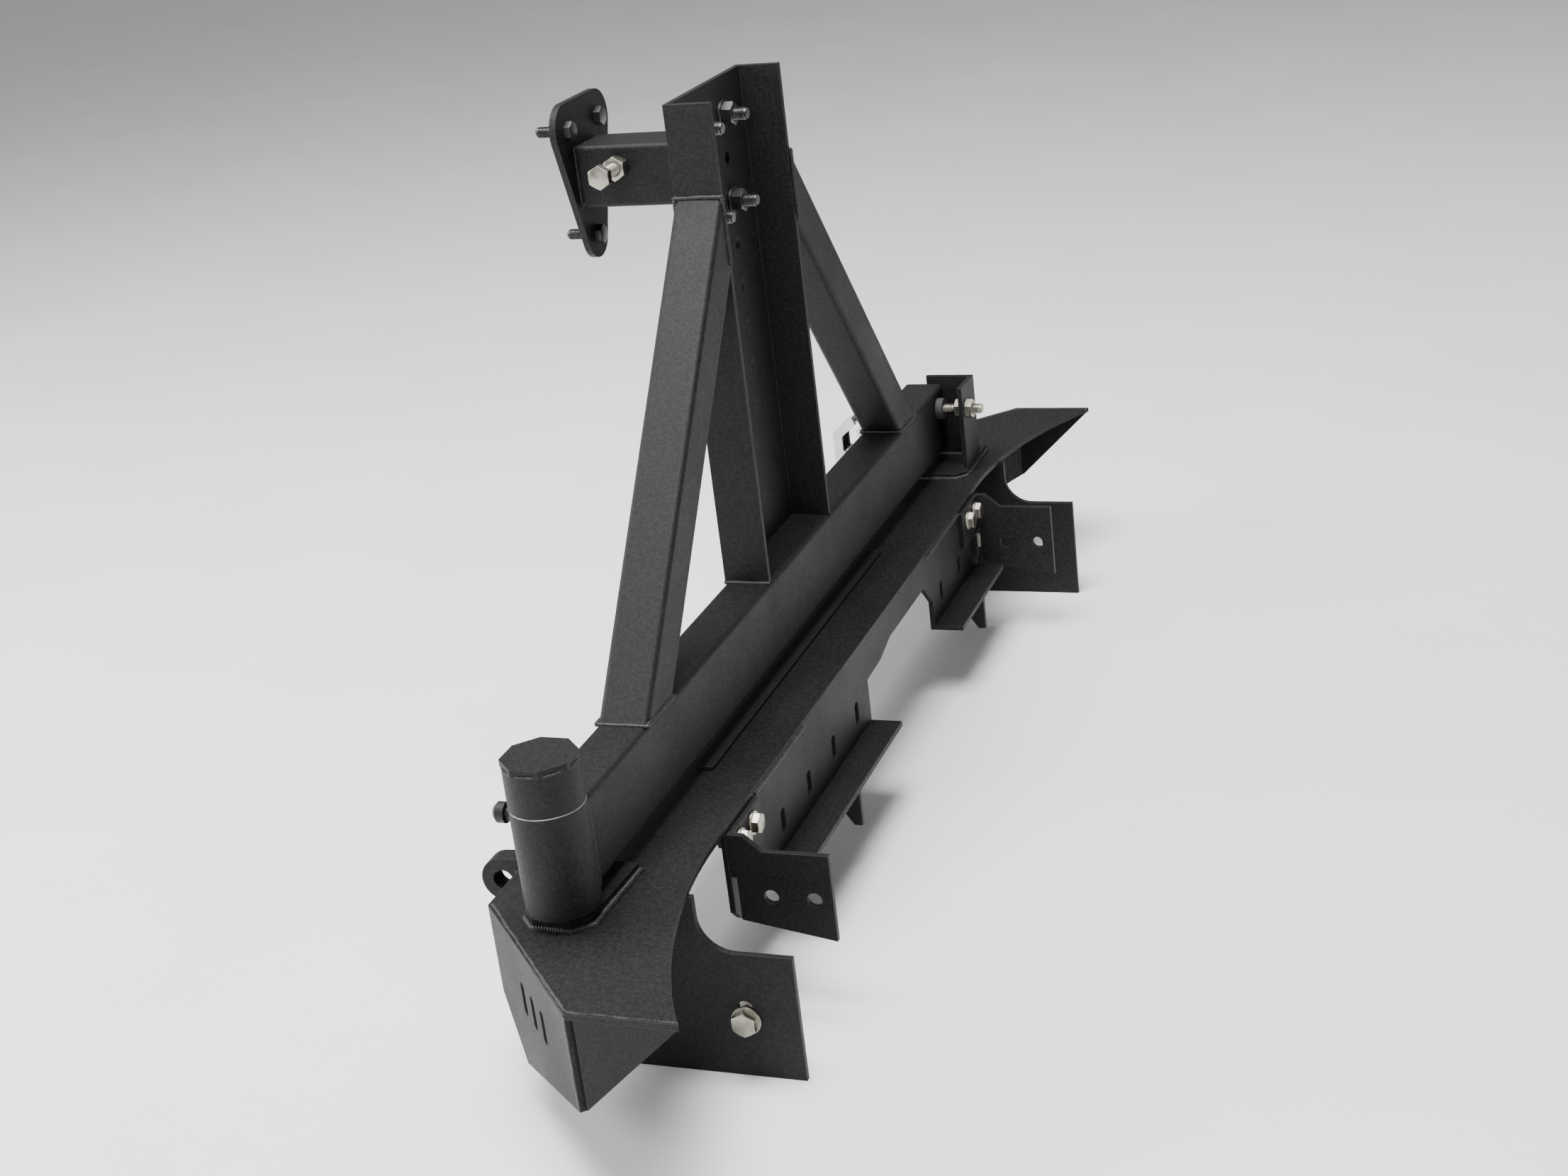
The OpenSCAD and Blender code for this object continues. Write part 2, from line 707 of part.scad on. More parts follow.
striker_side_y = arm_front_y + 29;
stop_z = top_z + 73;
stop_x = arm_end_x + 22;
module striker_base() {
    front = striker_side_y + 8;
    color(paint) translate([0, 0, top_z]) linear_extrude(6)
        polygon([[striker_x - 32, front - 2], [striker_x - 32, rear_y + 22], [striker_x + 52, rear_y + 22],
            [striker_x + 68, hinge_y - 10], [striker_x + 68, front - 12], [striker_x + 58, front - 2]]);
}

module striker_bracket() {
    z0 = top_z + 6;
    height = 95;
    rear = arm_rear_y + 24;
    side_len = 48;
    color(paint) difference() {
        union() {
            translate([striker_x - striker_t, rear, z0])
                cube([striker_t, striker_side_y + striker_t - rear, height]);
            translate([striker_x, striker_side_y, z0]) cube([side_len, striker_t, height]);
        }
        translate([stop_x, striker_side_y - 1, stop_z]) rotate([-90, 0, 0])
            cylinder(d = 12.6, h = striker_t + 2, $fn = 32);
    }
}

module stop_bolt() {
    color(zinc) translate([stop_x, arm_front_y + 7, stop_z]) rotate([-90, 0, 0]) rod(6, 0, 46);
}

module stop_nuts() {
    color(zinc) translate([stop_x, 0, stop_z]) {
        translate([0, striker_side_y, 0]) rotate([90, 0, 0]) hex_nut(12, 7);
        translate([0, striker_side_y + striker_t, 0]) rotate([-90, 0, 0]) hex_nut(12, 9);
    }
}

module stop_pad() {
    color(rubber) translate([stop_x, arm_front_y + 0.4, stop_z]) rotate([-90, 0, 0]) difference() {
        rod(12, 0, 8);
        rod(6, 6.6, 9);
    }
}

// ---------- draw latch, on the arm's rear face ----------

// Puts a Y-Z outline upright at one side of the latch, from near to near + t off its middle
module latch_side(s, near, t) {
    translate([latch_x + (s > 0 ? near : -near - t), 0, 0]) rotate([90, 0, 90]) linear_extrude(t) children();
}

module across_latch(at, r, near, far) {
    translate([latch_x + near, at[0], at[1]]) rotate([0, 90, 0]) cylinder(r = r, h = far - near, $fn = 32);
}

ear_x = 6;
cheek_x = 10;
sheet_t = 3;
screw_z = [20, 36];
module latch_base() {
    back = arm_rear_y - sheet_t;
    color(chrome) difference() {
        union() {
            translate([latch_x - 14, back, latch_pivot[1] - 14]) cube([28, sheet_t, 58]);
            for (s = [-1, 1]) latch_side(s, ear_x, sheet_t) {
                polygon([[back, latch_pivot[1] - 12], latch_pivot + [-5, -6], latch_pivot + [-7, 0],
                    latch_pivot + [-5, 6], [back, latch_pivot[1] + 14]]);
                polygon([[back, latch_pivot[1] + 26], latch_pivot + [2, 33], latch_pivot + [2, 40],
                    latch_pivot + [6, 44], [back, latch_pivot[1] + 44]]);
            }
        }
        across_latch(latch_pivot, 3.55, -20, 20);
        for (z = screw_z) translate([latch_x, arm_rear_y + 1, latch_pivot[1] + z]) rotate([90, 0, 0])
            cylinder(d = 5.4, h = 6, $fn = 24);
    }
}

module latch_screws() {
    color(zinc) for (z = screw_z) translate([latch_x, arm_rear_y, latch_pivot[1] + z]) rotate([90, 0, 0]) {
        rod(2.5, 0, sheet_t);
        translate([0, 0, sheet_t]) cylinder(r1 = 4.6, r2 = 2.8, h = 2.2, $fn = 32);
    }
}

// Two cheeks joined by a bent plate, turning on the latch pin; its top leans in over the arm
module latch_handle() {
    edge = [[-24, 39], [-1, 56]];
    cheek = concat([[10, 4], [7, -4], [3, -7], [-4, -7], [-20, -6], [-24, -2]], edge,
        [[3, 48], [-14, 34], [-14, 18], [-8, 14], [8, 14], [10, 12]]);
    face = concat([[-24, 8]], edge, [[1, 53], [-21, 37], [-21, 8]]);
    color(chrome) difference() {
        union() {
            for (s = [-1, 1]) latch_side(s, cheek_x, sheet_t) polygon([for (c = cheek) latch_pivot + c]);
            latch_side(1, -cheek_x, 2 * cheek_x) polygon([for (c = face) latch_pivot + c]);
        }
        across_latch(latch_pivot, 3.6, -20, 20);
        across_latch(loop_pin, 2.6, -20, 20);
    }
}

module latch_pin() {
    end = cheek_x + sheet_t + 0.7;
    color(zinc) across_latch(latch_pivot, 3.5, -end, end);
}

// U-shaped loop: two rods, the bar under the catch, and an eye and stub pin at each rod's end
bend_r = 8;
module latch_loop() {
    length = loop_pin[1] - bar_z;
    stub_r = 2.5;
    color(chrome) translate([latch_x, loop_pin[0], loop_pin[1]]) {
        for (s = [-1, 1]) {
            translate([s * loop_half, 0, bend_r - length]) cylinder(r = rod_r, h = length - bend_r, $fn = 32);
            translate([s * loop_half - rod_r - 0.5, 0, 0]) rotate([0, 90, 0])
                cylinder(r = 5, h = 2 * rod_r + 1, $fn = 32);
            translate([s > 0 ? cheek_x : -loop_half, 0, 0]) rotate([0, 90, 0])
                cylinder(r = stub_r, h = loop_half - cheek_x, $fn = 32);
            translate([s * (loop_half - bend_r), 0, bend_r - length]) rotate([90, 0, 0])
                rotate([0, 0, s > 0 ? 270 : 180]) rotate_extrude(angle = 90, $fn = 48)
                    translate([bend_r, 0]) circle(r = rod_r, $fn = 32);
        }
        translate([bend_r - loop_half, 0, -length]) rotate([0, 90, 0])
            cylinder(r = rod_r, h = 2 * (loop_half - bend_r), $fn = 32);
    }
}

// Catch on the bumper: an upright with a lip that reaches over the loop's bar
module latch_catch() {
    half = 10;
    upright_t = 5;
    rear = arm_rear_y - 0.5;
    reach = 16.5;
    color(paint) {
        translate([latch_x - half, rear - upright_t, top_z]) cube([2 * half, upright_t, catch_top - top_z]);
        translate([latch_x - half, rear - reach, catch_top - catch_t]) cube([2 * half, reach, catch_t]);
    }
}

top_plate();
rear_upper_face();
rear_lower_face();
wing_plate_right();
wing_plate_left();
end_plate_right();
end_plate_left();
inner_panel();
bottom_flanges();
flange_gussets();
side_plate_right();
side_plate_left();
frame_bracket_right();
frame_bracket_left();
bracket_bolts();
side_plate_bolts();
shackle_tab_right();
shackle_tab_left();
wear_strip();
spindle_base();
spindle();
grease_seal();
bearing_cone_lower();
bearing_cone_upper();
index_ring();
lock_washer();
castle_nut();
cotter_pin();
latch_catch();
striker_base();
striker_bracket();
stop_bolt();
stop_nuts();
stop_pad();
hub_sleeve();
bearing_cup_lower();
bearing_cup_upper();
hub_cap();
grease_fitting();
pin_housing();
arm_tube();
arm_end_cap();
post_channel();
brace_right();
brace_left();
mount_flange();
mount_sleeve();
mount_bolts();
clamp_nut();
clamp_bolt();
latch_base();
latch_screws();
slide_tube();
wheel_plate();
wheel_studs();
hold_open_pin();
pin_spring();
latch_handle();
latch_pin();
latch_loop();
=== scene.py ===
import json
import math

import bmesh
import bpy
from mathutils import Matrix, Vector, noise


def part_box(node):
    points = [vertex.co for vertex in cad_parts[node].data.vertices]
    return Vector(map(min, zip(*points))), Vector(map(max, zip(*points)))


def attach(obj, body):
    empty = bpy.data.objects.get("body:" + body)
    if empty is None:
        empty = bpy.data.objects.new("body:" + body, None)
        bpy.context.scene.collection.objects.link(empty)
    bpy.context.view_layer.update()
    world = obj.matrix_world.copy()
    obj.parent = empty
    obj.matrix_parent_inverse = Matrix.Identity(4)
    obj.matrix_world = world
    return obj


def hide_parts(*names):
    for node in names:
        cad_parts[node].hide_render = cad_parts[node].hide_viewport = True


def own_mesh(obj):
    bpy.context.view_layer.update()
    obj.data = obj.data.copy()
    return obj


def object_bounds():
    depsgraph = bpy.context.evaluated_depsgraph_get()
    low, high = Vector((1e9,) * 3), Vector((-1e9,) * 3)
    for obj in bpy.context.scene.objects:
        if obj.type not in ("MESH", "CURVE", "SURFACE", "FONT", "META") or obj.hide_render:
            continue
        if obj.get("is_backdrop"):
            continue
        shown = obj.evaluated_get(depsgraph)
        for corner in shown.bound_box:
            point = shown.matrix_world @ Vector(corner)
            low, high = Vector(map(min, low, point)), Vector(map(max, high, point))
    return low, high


# The look of a swing-out spare tire carrier: finishes, weld beads, threaded fasteners and the studio.

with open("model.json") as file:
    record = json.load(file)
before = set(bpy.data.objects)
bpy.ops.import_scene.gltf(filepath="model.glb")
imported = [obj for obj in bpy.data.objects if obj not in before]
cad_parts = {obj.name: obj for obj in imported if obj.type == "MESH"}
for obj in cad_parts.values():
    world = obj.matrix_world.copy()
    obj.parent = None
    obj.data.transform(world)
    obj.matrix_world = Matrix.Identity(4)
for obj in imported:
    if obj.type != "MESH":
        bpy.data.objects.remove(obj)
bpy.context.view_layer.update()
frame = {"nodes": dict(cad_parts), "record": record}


MM = 0.001
SLOT_OF = {part["node"]: part["material_slot"] for part in frame["record"]["subparts"]}


# ---------- finishes ----------

# A Mix node holds sockets of one name for each data type, so its colour sockets go by number
MIX_COLOUR_A = 6
MIX_COLOUR_B = 7
MIX_COLOUR_RESULT = 2


class Finish:
    """A material and short calls that add its nodes. Its noise has its scale in object metres."""

    def __init__(self, name):
        self.material = bpy.data.materials.new(name)
        self.material.use_nodes = True
        self.tree = self.material.node_tree
        self.shader = self.tree.nodes["Principled BSDF"]
        self.place = self.add("TexCoord").outputs["Object"]

    def add(self, kind, inputs=None, **settings):
        made = self.tree.nodes.new("ShaderNode" + kind)
        for key, value in settings.items():
            setattr(made, key, value)
        for key, value in (inputs or {}).items():
            self.set(made.inputs[key], value)
        return made

    def set(self, socket, value):
        if isinstance(value, bpy.types.NodeSocket):
            self.tree.links.new(value, socket)
        else:
            socket.default_value = value

    def noise(self, per_metre, detail=3.0, roughness=0.55):
        inputs = {"Vector": self.place, "Scale": per_metre, "Detail": detail, "Roughness": roughness}
        return self.add("TexNoise", inputs).outputs["Fac"]

    def ramp(self, value, low, high, from_low=0.3, from_high=0.7):
        inputs = {"Value": value, "From Min": from_low, "From Max": from_high, "To Min": low, "To Max": high}
        return self.add("MapRange", inputs).outputs["Result"]

    def combine(self, operation, first, second):
        return self.add("Math", {0: first, 1: second}, operation=operation).outputs["Value"]

    def mix(self, factor, dark, light):
        made = self.add("Mix", data_type="RGBA")
        self.set(made.inputs["Factor"], factor)
        self.set(made.inputs[MIX_COLOUR_A], dark)
        self.set(made.inputs[MIX_COLOUR_B], light)
        return made.outputs[MIX_COLOUR_RESULT]

    def soft_edges(self, radius):
        return self.add("Bevel", {"Radius": radius}, samples=4).outputs["Normal"]

    def edge_mask(self, radius, low, high):
        """1 on outer and inner edges, 0 on open faces."""
        true = self.add("NewGeometry").outputs["Normal"]
        inputs = {0: self.soft_edges(radius), 1: true}
        dot = self.add("VectorMath", inputs, operation="DOT_PRODUCT").outputs["Value"]
        return self.ramp(dot, 1.0, 0.0, low, high)

    def bump(self, height, distance, strength=1.0, normal=None):
        inputs = {"Height": height, "Distance": distance, "Strength": strength}
        if normal is not None:
            inputs["Normal"] = normal
        return self.add("Bump", inputs).outputs["Normal"]

    def shade(self, **values):
        for key, value in values.items():
            self.set(self.shader.inputs[key.replace("_", " ").title()], value)
        return self.material


def powder_coat(name, dark, light, edge, gloss=0.0):
    """Black powder coat: a fine orange-peel grain, cloudy gloss, and thin edges given the lighter edge colour
    in patches as a painted highlight.
    """
    finish = Finish(name)
    grain = finish.noise(430.0, 4.0, 0.75)
    patches = finish.noise(9.0, 4.0)
    specks = finish.noise(330.0, 3.0, 0.7)
    colour = finish.mix(finish.ramp(specks, 0.0, 1.0, 0.38, 0.66), dark, light)
    # Painted highlight: edges, in noise patches, are mixed toward the lighter edge colour
    painted_edge_highlight = finish.combine("MULTIPLY", finish.edge_mask(1.3 * MM, 0.86, 0.99), finish.ramp(patches, 0.15, 0.9))
    colour = finish.mix(painted_edge_highlight, colour, edge)
    rough = finish.combine("ADD", finish.ramp(patches, 0.52, 0.64), finish.ramp(grain, -0.07, 0.07))
    rough = finish.combine("SUBTRACT", rough, gloss)
    normal = finish.bump(grain, 0.3 * MM, 0.85, finish.soft_edges(0.9 * MM))
    finish.shader.inputs["Specular IOR Level"].default_value = 0.26
    return finish.shade(base_color=colour, roughness=rough, normal=normal)


def zinc_plate():
    """Bright zinc plating: cloudy, slightly yellow, with fine scratches."""
    finish = Finish("zinc plating")
    clouds = finish.noise(90.0, 4.0)
    fine = finish.noise(900.0, 2.0)
    colour = finish.mix(finish.ramp(clouds, 0.0, 1.0), (0.25, 0.235, 0.19, 1), (0.46, 0.445, 0.39, 1))
    rough = finish.ramp(clouds, 0.26, 0.46)
    normal = finish.bump(fine, 0.05 * MM, 0.6, finish.soft_edges(0.4 * MM))
    return finish.shade(base_color=colour, roughness=rough, metallic=1.0, normal=normal)


def machined_steel():
    """Turned steel with a thin oil film."""
    finish = Finish("machined steel")
    rings = finish.add("TexWave", {"Vector": finish.place, "Scale": 420.0, "Distortion": 1.5, "Detail": 2.0},
                       bands_direction="Z").outputs["Fac"]
    clouds = finish.noise(60.0, 3.0)
    colour = finish.mix(finish.ramp(clouds, 0.0, 1.0), (0.07, 0.068, 0.068, 1), (0.17, 0.167, 0.165, 1))
    rough = finish.ramp(rings, 0.3, 0.42, 0.0, 1.0)
    normal = finish.bump(rings, 0.03 * MM, 0.5, finish.soft_edges(0.3 * MM))
    return finish.shade(base_color=colour, roughness=rough, metallic=1.0, normal=normal)


def chrome_plate():
    """Polished plating with faint waviness and finger smears."""
    finish = Finish("chrome")
    smears = finish.noise(45.0, 5.0, 0.65)
    waves = finish.noise(130.0, 1.0)
    colour = finish.mix(finish.ramp(smears, 0.0, 1.0), (0.38, 0.385, 0.39, 1), (0.58, 0.58, 0.57, 1))
    rough = finish.ramp(smears, 0.1, 0.26)
    normal = finish.bump(waves, 0.08 * MM, 0.35, finish.soft_edges(0.5 * MM))
    return finish.shade(base_color=colour, roughness=rough, metallic=1.0, normal=normal)


def black_rubber():
    """Matt rubber with fine pores and a little dust."""
    finish = Finish("rubber")
    pores = finish.noise(700.0, 3.0)
    dust = finish.noise(30.0, 4.0)
    colour = finish.mix(finish.ramp(dust, 0.0, 1.0), (0.014, 0.014, 0.014, 1), (0.035, 0.034, 0.032, 1))
    normal = finish.bump(pores, 0.1 * MM, 0.8, finish.soft_edges(0.5 * MM))
    return finish.shade(base_color=colour, roughness=finish.ramp(pores, 0.7, 0.85), normal=normal)


PAINT_DARK = (0.0018, 0.0016, 0.0021, 1)
PAINT_LIGHT = (0.0105, 0.0096, 0.0115, 1)
# The edge colour is a painted highlight along rims and edges
PAINT_EDGE_HIGHLIGHT = (0.045, 0.043, 0.046, 1)
FINISHES = {
    "powder_coat": powder_coat("textured powder coat", PAINT_DARK, PAINT_LIGHT, PAINT_EDGE_HIGHLIGHT),
    # The knob's third colour is its painted edge highlight
    "knob": powder_coat("satin black knob", (0.012, 0.012, 0.013, 1), (0.022, 0.021, 0.022, 1),
                        (0.05, 0.05, 0.05, 1), gloss=0.14),
    "zinc": zinc_plate(),
    "steel": machined_steel(),
    "chrome": chrome_plate(),
    "rubber": black_rubber(),
}
# The welds carry the same black coating; their colours are lighter than the powder coat's as a painted
# highlight, edges included
PAINTED_HIGHLIGHT_BEAD_FINISH = powder_coat("coated weld with painted highlight", (0.008, 0.0074, 0.0085, 1), (0.026, 0.025, 0.027, 1),
                          (0.075, 0.073, 0.076, 1), gloss=0.2)


def coat(piece, finish):
    """Makes finish the only material of a piece."""
    piece.data.materials.clear()
    piece.data.materials.append(finish)


for name, thing in frame["nodes"].items():
    coat(thing, FINISHES[SLOT_OF[name]])


# ---------- mesh helpers ----------

SHARP_ANGLE = math.radians(35)


def loft(bm, rings, closed=False, capped=True):
    """Joins rings of points into a skin; closed joins the last ring to the first."""
    loops = [[bm.verts.new(p) for p in ring] for ring in rings]
    pairs = list(zip(loops, loops[1:]))
    if closed:
        pairs.append((loops[-1], loops[0]))
    for low, high in pairs:
        for i in range(len(low)):
            j = (i + 1) % len(low)
            bm.faces.new((low[i], low[j], high[j], high[i]))
    if capped and not closed:
        bm.faces.new(list(reversed(loops[0])))
        bm.faces.new(loops[-1])


def round_section(spot, across, up, radius, sides=8):
    """A ring of points about spot, in the plane of across and up."""
    turns = [math.tau * k / sides for k in range(sides)]
    return [spot + (across * math.cos(t) + up * math.sin(t)) * radius for t in turns]


def make_piece(name, bm, body, slot, finish=None, replaces=()):
    """Turns a finished mesh into a visible piece that rides on a body, in place of the CAD nodes named."""
    bmesh.ops.recalc_face_normals(bm, faces=bm.faces)
    mesh = bpy.data.meshes.new(name)
    bm.to_mesh(mesh)
    bm.free()
    piece = bpy.data.objects.new(name, mesh)
    bpy.context.scene.collection.objects.link(piece)
    coat(piece, finish or FINISHES[slot])
    for face in mesh.polygons:
        face.use_smooth = True
    mesh.set_sharp_from_angle(angle=SHARP_ANGLE)
    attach(piece, body)
    if replaces:
        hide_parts(*replaces)
    return piece


# ---------- weld beads ----------

RIPPLE = 2.4 * MM
RINGS_PER_RIPPLE = 4
BEAD_SIDES = 10


def walk(points, closed, step):
    """Evenly spaced points along a path, with a direction at each."""
    path = [Vector(p) for p in points]
    if closed:
        path.append(path[0])
    lengths = [(b - a).length for a, b in zip(path, path[1:])]
    count = max(4, round(sum(lengths) / step))
    spots, leg, done = [], 0, 0.0
    for i in range(count if closed else count + 1):
        at = sum(lengths) * i / count
        while leg < len(lengths) - 1 and at > done + lengths[leg]:
            done += lengths[leg]
            leg += 1
        spots.append(path[leg].lerp(path[leg + 1], (at - done) / lengths[leg]))
    if closed:
        return [(p, (spots[(i + 1) % count] - spots[i - 1]).normalized()) for i, p in enumerate(spots)]
    last = len(spots) - 1
    return [(p, (spots[min(i + 1, last)] - spots[max(i - 1, 0)]).normalized()) for i, p in enumerate(spots)]


def bead(bm, points, radius, side=(0, 0, 1), closed=False):
    """A rippled weld bead along a path; side is any direction across the path."""
    rings = []
    for i, (spot, ahead) in enumerate(walk(points, closed, RIPPLE / RINGS_PER_RIPPLE)):
        across = ahead.cross(Vector(side)).normalized()
        up = across.cross(ahead)
        phase = (i % RINGS_PER_RIPPLE) / RINGS_PER_RIPPLE
        wander = 0.16 * noise.noise(spot * 90)
        r = radius * (0.84 + 0.16 * math.sin(math.pi * phase) + wander)
        centre = spot + across * radius * 0.2 * noise.noise(spot * 60)
        ring = []
        for k in range(BEAD_SIDES):
            a = math.tau * k / BEAD_SIDES
            bow = ahead * RIPPLE * 0.5 * math.cos(a)
            ring.append(centre + (across * math.cos(a) + up * math.sin(a)) * r + bow)
        rings.append(ring)
    loft(bm, rings, closed=closed)


def outline(node, axis, level):
    """The four corners of a CAD node's box, square to axis, at one level along it."""
    low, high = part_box(node)
    u, v = [k for k in range(3) if k != axis]
    corners = []
    for a, b in ((low[u], low[v]), (high[u], low[v]), (high[u], high[v]), (low[u], high[v])):
        corner = Vector((0, 0, 0))
        corner[axis], corner[u], corner[v] = level, a, b
        corners.append(corner)
    return corners


def circle(centre, radius, z, count=48):
    """Evenly spaced points on a level circle."""
    turns = [math.tau * i / count for i in range(count)]
    return [(centre.x + radius * math.cos(t), centre.y + radius * math.sin(t), z) for t in turns]


def bumper_beads():
    """Welds between the bumper's plates and everything that stands on them."""
    bm = bmesh.new()
    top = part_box("top_plate")[1].z
    # The hinge post's base: straight sides, with its two near corners cut off
    low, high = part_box("spindle_base")
    cut = 12 * MM
    bead(bm, [(low.x, low.y, top), (high.x - cut, low.y, top), (high.x, low.y + cut, top),
              (high.x, high.y - cut - 5 * MM, top), (high.x - cut, high.y - 3 * MM, top),
              (low.x, high.y, top)], 3.6 * MM)
    low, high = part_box("striker_base")
    nose = 10 * MM
    bead(bm, [(low.x, high.y, top), (high.x - nose, high.y, top), (high.x, high.y - nose, top),
              (high.x, low.y + 30 * MM, top), (high.x - 16 * MM, low.y, top), (low.x, low.y, top)],
         3.0 * MM, closed=True)
    # Foot of the striker's upright plates, on its base
    low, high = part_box("striker_bracket")
    plate = 5 * MM
    bead(bm, [(low.x + plate, low.y, low.z), (low.x + plate, high.y - plate, low.z),
              (high.x, high.y - plate, low.z)], 2.2 * MM)
    # Shackle tabs, up both sides where they meet the rear face
    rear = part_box("rear_upper_face")[0].y
    for node in ("shackle_tab_right", "shackle_tab_left"):
        low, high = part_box(node)
        for x in (low.x, high.x):
            bead(bm, [(x, rear, low.z + 3 * MM), (x, rear, high.z - 9 * MM)], 2.8 * MM, side=(1, 0, 0))
    low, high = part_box("latch_catch")
    bead(bm, [(low.x, high.y, top), (high.x, high.y, top)], 1.8 * MM)
    # Ground-back welds where each wing meets the top plate and its end plate
    for side, sign in (("right", 1), ("left", -1)):
        low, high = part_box("end_plate_" + side)
        wing_low, wing_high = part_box("wing_plate_" + side)
        tip = (high.x if sign > 0 else low.x) - sign * 3.9 * MM
        wing_start = wing_low.x if sign > 0 else wing_high.x
        corner_y = low.y - 2.4 * MM
        seam = top - 2.6 * MM
        corner = (tip, corner_y, seam)
        bead(bm, [(wing_start, wing_low.y + 2.5 * MM, seam), corner], 3.4 * MM)
        bead(bm, [corner, (tip, high.y, seam)], 3.2 * MM)
        bead(bm, [corner, (tip, corner_y, low.z + 3 * MM)], 3.2 * MM, side=(1, 0, 0))
    # Two short welds along the upper edge of the inner panel
    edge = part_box("inner_panel")[1].z
    for sign in (-1, 1):
        bead(bm, [(sign * 330 * MM, 0, edge), (sign * 200 * MM, 0, edge)], 2.4 * MM)
    make_piece("bumper_weld_beads", bm, "bumper", "powder_coat", PAINTED_HIGHLIGHT_BEAD_FINISH)


# Length of each slanted brace's cut ends, as a multiple of its tube's side
BRACE_FOOT = 1.3
BRACE_TOP = 1.32


def arm_beads():
    """Welds of the swing arm, its post, its braces and its hub."""
    bm = bmesh.new()
    arm_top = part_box("post_channel")[0].z
    # Feet of both braces on the arm
    for side, sign in (("right", 1), ("left", -1)):
        low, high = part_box("brace_" + side)
        outer = high.x if sign > 0 else low.x
        inner = outer - sign * (high.y - low.y) * BRACE_FOOT
        bead(bm, [(outer, low.y, arm_top), (inner, low.y, arm_top), (inner, high.y, arm_top),
                  (outer, high.y, arm_top)], 2.4 * MM, closed=True)
    # Foot of the post, along the web and both flanges
    low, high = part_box("post_channel")
    bead(bm, [(low.x, high.y, arm_top), (low.x, low.y + MM, arm_top), (high.x, low.y + MM, arm_top),
              (high.x, high.y, arm_top)], 2.3 * MM)
    # Brace tops against the post's flanges
    for node, x in (("brace_right", high.x), ("brace_left", low.x)):
        b_low, b_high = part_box(node)
        tall = (b_high.y - b_low.y) * BRACE_TOP
        bead(bm, [(x, b_low.y, b_high.z - tall), (x, b_low.y, b_high.z), (x, b_high.y, b_high.z),
                  (x, b_high.y, b_high.z - tall)], 2.2 * MM, side=(1, 0, 0), closed=True)
    # Square sleeve on its flange
    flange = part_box("mount_flange")[0].y
    bead(bm, outline("mount_sleeve", 1, flange), 2.2 * MM, side=(0, 1, 0), closed=True)
    # Arm tube on the hub: up both sides and across the top and bottom
    low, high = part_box("hub_sleeve")
    centre = (low + high) / 2
    hub_r = (high.x - low.x) / 2
    a_low, a_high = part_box("arm_tube")
    half = (a_high.y - a_low.y) / 2
    spread = math.asin(half / hub_r)
    turns = [math.pi - spread + 2 * spread * i / 12 for i in range(13)]
    across = [(centre.x + hub_r * math.cos(t), centre.y + hub_r * math.sin(t)) for t in turns]
    path = [(x, y, a_high.z) for x, y in across] + [(x, y, a_low.z) for x, y in reversed(across)]
    bead(bm, path, 2.4 * MM, side=(1, 0.2, 0.1), closed=True)
    # Rim of the hub cap, under its eight-sided lid
    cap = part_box("hub_cap")[1].z
    lid = 6 * MM
    bead(bm, circle(centre, hub_r - 1.2 * MM, cap - lid), 1.4 * MM, closed=True)
    make_piece("arm_weld_beads", bm, "swing_arm", "powder_coat", PAINTED_HIGHLIGHT_BEAD_FINISH)


def seam_ring():
    """The seal that shows as a thin bright line between the hub and its cap."""
    low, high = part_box("hub_sleeve")
    centre = (low + high) / 2
    radius = (high.x - low.x) / 2 - 0.2 * MM
    bm = bmesh.new()
    rings = []
    for spot in circle(centre, radius, high.z + 0.3 * MM, 96):
        out = Vector((spot[0] - centre.x, spot[1] - centre.y, 0)).normalized()
        rings.append(round_section(Vector(spot), out, Vector((0, 0, 1)), 0.55 * MM))
    loft(bm, rings, closed=True)
    make_piece("hub_seam_ring", bm, "swing_arm", "zinc")


def plate_bead():
    """The weld round the slide tube, on the wheel plate."""
    bm = bmesh.new()
    bead(bm, outline("slide_tube", 1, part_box("slide_tube")[0].y), 1.9 * MM, side=(0, 1, 0), closed=True)
    make_piece("wheel_plate_weld_bead", bm, "wheel_slide", "powder_coat", PAINTED_HIGHLIGHT_BEAD_FINISH)


# ---------- fasteners ----------

# Angles of the points round every fastener; a multiple of six, so that a hexagon keeps its corners
ANGLES = [math.tau * i / 48 for i in range(48)]
# Half of a hexagon's width across its flats, as a multiple of the thread's diameter
HALF_FLAT = 0.94 * math.cos(math.pi / 6)
COARSE = 1.75 * MM
FINE = 1.5 * MM


def solids(node):
    """Low and high corners of each separate solid in a CAD node."""
    bm = bmesh.new()
    bm.from_mesh(frame["nodes"][node].data)
    bmesh.ops.remove_doubles(bm, verts=bm.verts, dist=0.002 * MM)
    seen = set()
    boxes = []
    for first in bm.verts:
        if first in seen:
            continue
        seen.add(first)
        stack = [first]
        group = []
        while stack:
            vert = stack.pop()
            group.append(vert.co.copy())
            for edge in vert.link_edges:
                other = edge.other_vert(vert)
                if other not in seen:
                    seen.add(other)
                    stack.append(other)
        boxes.append((Vector([min(p[k] for p in group) for k in range(3)]),
                      Vector([max(p[k] for p in group) for k in range(3)])))
    bm.free()
    return boxes


def aim(box, direction):
    """Matrix that puts z = 0 at the tail end of a box and +z along direction."""
    low, high = box
    direction = Vector(direction)
    centre = (low + high) / 2
    reach = abs((high - low).dot(direction)) / 2
    turn = direction.to_track_quat("Z", "Y").to_matrix().to_4x4()
    return Matrix.Translation(centre - direction * reach) @ turn, 2 * reach


def ring_at(place, radius_at, z):
    """A ring of points about place's z axis, with a radius that may change with the angle."""
    return [place @ Vector((radius_at(a) * math.cos(a), radius_at(a) * math.sin(a), z)) for a in ANGLES]


def hexagon(flat):
    """Radius at each angle of a hexagon that is flat away from its middle."""
    return lambda a: flat / math.cos((a + math.pi / 6) % (math.pi / 3) - math.pi / 6)


